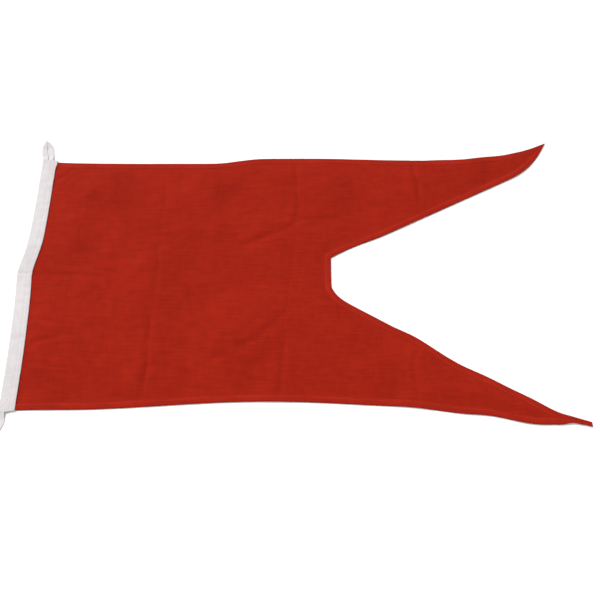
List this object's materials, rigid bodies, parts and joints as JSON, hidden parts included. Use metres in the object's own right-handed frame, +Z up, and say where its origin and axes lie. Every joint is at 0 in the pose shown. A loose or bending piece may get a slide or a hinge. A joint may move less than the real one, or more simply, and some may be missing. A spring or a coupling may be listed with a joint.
{
  "type": "swallow-tail signal flag",
  "caption": "Swallow-tail signal flag of sewn red bunting, with a white heading tape and a tape loop at each end for toggles or clips, laid out flat.",
  "frame": {"origin": "on the resting surface, at mid height of the heading, in line with the heading's two ends", "axes": "+X from the heading towards the tails, +Y along the heading towards its upper end, +Z up from the surface the flag lies on"},
  "size_m": [0.9213, 0.5351, 0.0034],
  "materials": {
    "red_bunting": "matte plain weave",
    "red_thread": "satin twisted thread",
    "white_tape": "matte twill tape",
    "white_strap": "matte woven strap",
    "white_thread": "satin twisted thread"
  },
  "bodies": {
    "hoist_part": {"heading_tape": "white_tape", "heading_seam_thread": "white_thread", "upper_loop_anchor": "white_strap", "lower_loop_anchor": "white_strap", "upper_loop_tack": "white_thread", "lower_loop_tack": "white_thread", "hoist_pane": "red_bunting", "hoist_tucked_edge": "red_bunting", "hoist_pane_hems": "red_bunting", "hoist_pane_hem_thread": "red_thread"},
    "middle_part": {"middle_pane": "red_bunting", "middle_pane_hems": "red_bunting", "middle_pane_hem_thread": "red_thread"},
    "notch_part": {"notch_pane": "red_bunting", "notch_pane_hems": "red_bunting", "notch_pane_hem_thread": "red_thread"},
    "upper_tail_part": {"upper_tail": "red_bunting", "upper_tail_hems": "red_bunting", "upper_tail_hem_thread": "red_thread"},
    "lower_tail_part": {"lower_tail": "red_bunting", "lower_tail_hems": "red_bunting", "lower_tail_hem_thread": "red_thread"},
    "upper_loop_part": {"upper_loop": "white_strap"},
    "lower_loop_part": {"lower_loop": "white_strap"}
  },
  "joints": [
    {"name": "first_fold", "type": "hinge", "parent": "hoist_part", "child": "middle_part", "pos_m": [0.206, 0, 0.0021], "axis": [0, -1, 0], "range_deg": [0, 170]},
    {"name": "second_fold", "type": "hinge", "parent": "middle_part", "child": "notch_part", "pos_m": [0.424, 0, -0.0003], "axis": [0, -1, 0], "range_deg": [-170, 0]},
    {"name": "upper_tail_fold", "type": "hinge", "parent": "notch_part", "child": "upper_tail_part", "pos_m": [0.642, 0, 0.0021], "axis": [0, -1, 0], "range_deg": [0, 170]},
    {"name": "lower_tail_fold", "type": "hinge", "parent": "notch_part", "child": "lower_tail_part", "pos_m": [0.642, 0, 0.0021], "axis": [0, -1, 0], "range_deg": [0, 170]},
    {"name": "upper_loop_flip", "type": "hinge", "parent": "hoist_part", "child": "upper_loop_part", "pos_m": [0, 0.2273, 0.0036], "axis": [0.9874, -0.158, 0], "range_deg": [0, 150]},
    {"name": "lower_loop_flip", "type": "hinge", "parent": "hoist_part", "child": "lower_loop_part", "pos_m": [0, -0.2273, 0.0036], "axis": [-0.9874, -0.158, 0], "range_deg": [0, 150]}
  ],
  "couplings": [
    {"joint": "second_fold", "follows": "first_fold", "ratio": -1}
  ]
}
